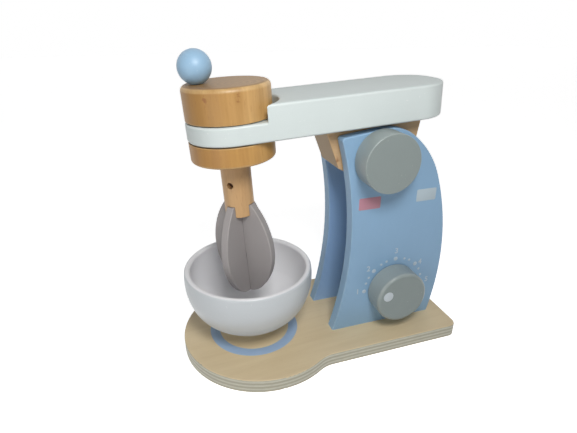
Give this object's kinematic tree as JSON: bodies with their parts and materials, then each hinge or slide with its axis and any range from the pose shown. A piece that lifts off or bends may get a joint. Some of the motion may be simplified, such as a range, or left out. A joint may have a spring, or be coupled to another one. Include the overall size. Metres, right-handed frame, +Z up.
{
  "type": "toy stand mixer",
  "caption": "Wooden toy stand mixer with a tilting arm, a hand-cranked whisk head, a turning dial and a loose bowl on a board.",
  "frame": {"origin": "centre of the board's underside, on the surface that the toy stands on", "axes": "+Z up, +X from the bowl end to the column end, the dial side faces -Y"},
  "size_m": [0.2418, 0.14, 0.251],
  "materials": {
    "plywood": "clear varnished birch plywood",
    "blue_paint": "satin blue paint on wood",
    "white_paint": "satin white paint on wood",
    "grey_paint": "satin grey paint on wood",
    "whisk_paint": "satin warm grey paint on wood",
    "bowl_paint": "satin light grey paint on wood",
    "ball_paint": "satin pale blue paint on wood",
    "beech": "waxed beech",
    "block_wood": "waxed wood",
    "steel": "zinc plated steel",
    "slip_washer": "nylon slip washer"
  },
  "bodies": {
    "stand": {"base_board": "plywood", "dial_side_panel": "blue_paint", "plain_side_panel": "blue_paint", "panel_screws": "steel"},
    "arm": {"arm_board": "white_paint", "hinge_block": "block_wood", "block_screws": "steel", "pivot_axle": "beech", "pivot_knob": "grey_paint", "axle_lock_pin": "steel", "pivot_washers": "slip_washer", "head_washers": "slip_washer"},
    "whisk_head": {"head_upper_disc": "beech", "head_lower_disc": "beech", "head_spindle": "beech", "crank_ball": "ball_paint", "ball_peg": "beech", "whisk_shaft": "beech", "shaft_pin": "beech", "whisk_blade_one": "whisk_paint", "whisk_blade_two": "whisk_paint"},
    "dial": {"dial_knob": "grey_paint", "dial_screw": "steel", "dial_outer_washer": "slip_washer", "dial_inner_washer": "slip_washer"},
    "loose_bowl": {"bowl": "bowl_paint"}
  },
  "joints": [
    {"name": "arm_tilt", "type": "hinge", "parent": "stand", "child": "arm", "pos_m": [0.0423, 0, 0.1704], "axis": [0, 1, 0], "range_deg": [0, 21]},
    {"name": "head_spin", "type": "hinge", "parent": "arm", "child": "whisk_head", "pos_m": [-0.06731, 0, 0.16393], "axis": [-0.059, 0, 0.9983], "continuous": true},
    {"name": "dial_turn", "type": "hinge", "parent": "stand", "child": "dial", "pos_m": [0.0637, 0, 0.0476], "axis": [0, 1, 0], "continuous": true},
    {"name": "bowl_lift", "type": "slide", "parent": "stand", "child": "loose_bowl", "axis": [0, 0, 1], "range_m": [0, 0.012]}
  ]
}
